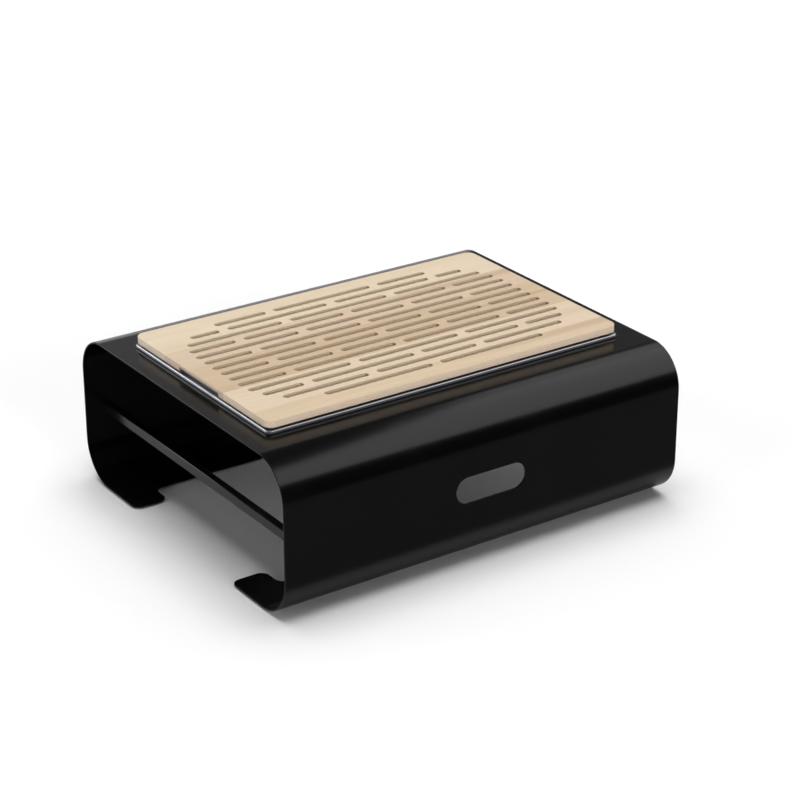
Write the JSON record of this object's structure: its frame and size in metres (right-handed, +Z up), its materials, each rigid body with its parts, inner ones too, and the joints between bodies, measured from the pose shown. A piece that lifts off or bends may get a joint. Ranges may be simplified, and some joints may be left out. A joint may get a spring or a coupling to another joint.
{
  "type": "bread cutting station",
  "caption": "Free-standing bent steel stand with a lift-out crumb tray and a slotted wooden cutting board that lets crumbs fall into the tray.",
  "frame": {"origin": "on the floor, below the middle of the stand", "axes": "+X along the long side, +Y to the back, +Z up"},
  "size_m": [0.597, 0.497, 0.2255],
  "materials": {
    "stand_coat": "semi-gloss black powder coat",
    "tray_steel": "polished stainless steel",
    "board_wood": "sanded and oiled",
    "pad_rubber": "matt"
  },
  "bodies": {
    "stand": {"stand_shell": "stand_coat", "crossbar_left": "stand_coat", "crossbar_right": "stand_coat", "foot_pad_front_left": "pad_rubber", "foot_pad_front_right": "pad_rubber", "foot_pad_back_left": "pad_rubber", "foot_pad_back_right": "pad_rubber"},
    "tray": {"crumb_tray": "tray_steel"},
    "board": {"stave_1": "board_wood", "stave_2": "board_wood", "stave_3": "board_wood", "stave_4": "board_wood", "stave_5": "board_wood", "stave_6": "board_wood"}
  },
  "joints": [
    {"name": "tray_lift", "type": "slide", "parent": "stand", "child": "tray", "axis": [0, 0, 1], "range_m": [0, 0.06]},
    {"name": "board_lift", "type": "slide", "parent": "tray", "child": "board", "axis": [0, 0, 1], "range_m": [0, 0.06]}
  ]
}
